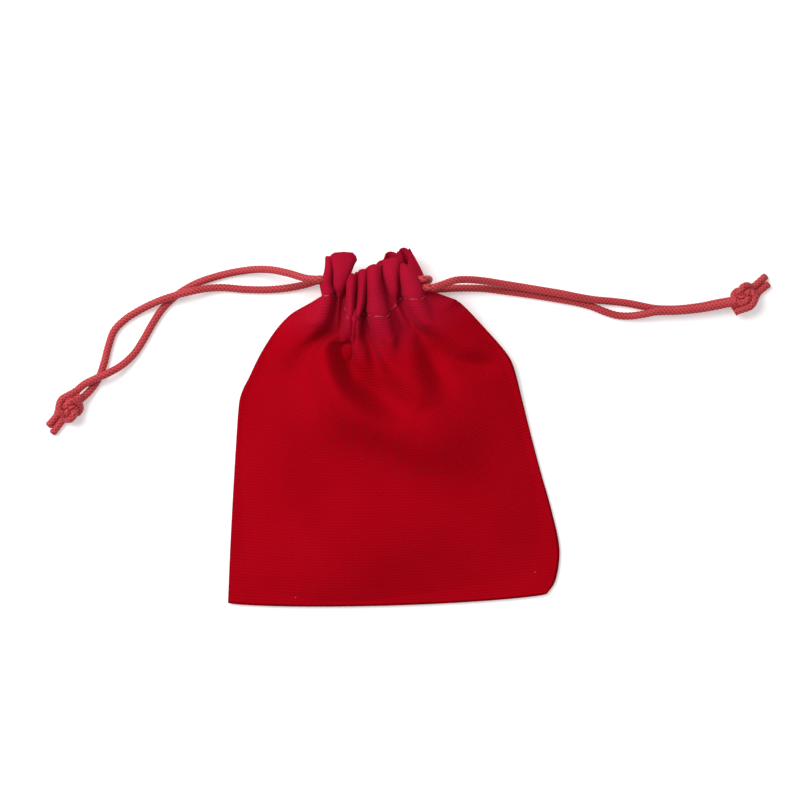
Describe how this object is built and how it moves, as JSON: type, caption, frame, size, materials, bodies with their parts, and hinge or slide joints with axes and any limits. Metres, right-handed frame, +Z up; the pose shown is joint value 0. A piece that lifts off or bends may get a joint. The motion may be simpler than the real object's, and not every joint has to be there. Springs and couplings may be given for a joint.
{
  "type": "drawstring gift pouch",
  "caption": "Small velvet drawstring pouch lying flat, its mouth gathered shut by a double drawcord with knotted ends.",
  "frame": {"origin": "on the table under the middle of the cloth, cords left out", "axes": "+X across the pouch, +Y from the bottom seam to the mouth, +Z up from the table"},
  "size_m": [0.2229, 0.1105, 0.0158],
  "materials": {
    "velvet": "matt knitted velvet",
    "cord": "braided cord",
    "cord_tip": "melted braid end",
    "thread": "sewing thread"
  },
  "bodies": {
    "pouch": {"front_panel": "velvet", "back_panel": "velvet", "left_seam_stitches": "thread", "right_seam_stitches": "thread", "bottom_seam_stitches": "thread", "left_cord_loop": "cord", "right_cord_loop": "cord"},
    "mouth_left": {"front_pleat_1": "velvet", "front_pleat_1_stitches": "thread", "back_pleat_1": "velvet", "back_pleat_1_stitches": "thread"},
    "mouth_mid_left": {"front_pleat_2": "velvet", "front_pleat_2_stitches": "thread", "back_pleat_2": "velvet", "back_pleat_2_stitches": "thread"},
    "mouth_mid_right": {"front_pleat_3": "velvet", "front_pleat_3_stitches": "thread", "back_pleat_3": "velvet", "back_pleat_3_stitches": "thread"},
    "mouth_right": {"front_pleat_4": "velvet", "front_pleat_4_stitches": "thread", "back_pleat_4": "velvet", "back_pleat_4_stitches": "thread"},
    "left_cord": {"left_cord_upper_strand": "cord", "left_cord_lower_strand": "cord", "left_knot": "cord", "left_cord_tails": "cord", "left_cord_tips": "cord_tip"},
    "right_cord": {"right_cord_upper_strand": "cord", "right_cord_lower_strand": "cord", "right_knot": "cord", "right_cord_tails": "cord", "right_cord_tips": "cord_tip"}
  },
  "joints": [
    {"name": "mouth_left_slide", "type": "slide", "parent": "pouch", "child": "mouth_left", "axis": [-1, 0, 0], "range_m": [0, 0.0335], "deforming": ["left_cord_loop", "right_cord_loop"]},
    {"name": "mouth_right_slide", "type": "slide", "parent": "pouch", "child": "mouth_right", "axis": [1, 0, 0], "range_m": [0, 0.0335]},
    {"name": "mouth_mid_left_slide", "type": "slide", "parent": "pouch", "child": "mouth_mid_left", "axis": [-1, 0, 0], "range_m": [0, 0.0115]},
    {"name": "mouth_mid_right_slide", "type": "slide", "parent": "pouch", "child": "mouth_mid_right", "axis": [1, 0, 0], "range_m": [0, 0.0115]},
    {"name": "left_cord_slide", "type": "slide", "parent": "mouth_left", "child": "left_cord", "axis": [1, 0, 0], "range_m": [0, 0.067], "deforming": ["left_cord_upper_strand", "left_cord_lower_strand"]},
    {"name": "right_cord_slide", "type": "slide", "parent": "mouth_right", "child": "right_cord", "axis": [-1, 0, 0], "range_m": [0, 0.067], "deforming": ["right_cord_upper_strand", "right_cord_lower_strand"]}
  ],
  "couplings": [
    {"joint": "mouth_right_slide", "follows": "mouth_left_slide", "ratio": 1},
    {"joint": "mouth_mid_left_slide", "follows": "mouth_left_slide", "ratio": 0.34},
    {"joint": "mouth_mid_right_slide", "follows": "mouth_left_slide", "ratio": 0.34},
    {"joint": "left_cord_slide", "follows": "mouth_left_slide", "ratio": 2},
    {"joint": "right_cord_slide", "follows": "mouth_left_slide", "ratio": 2}
  ]
}
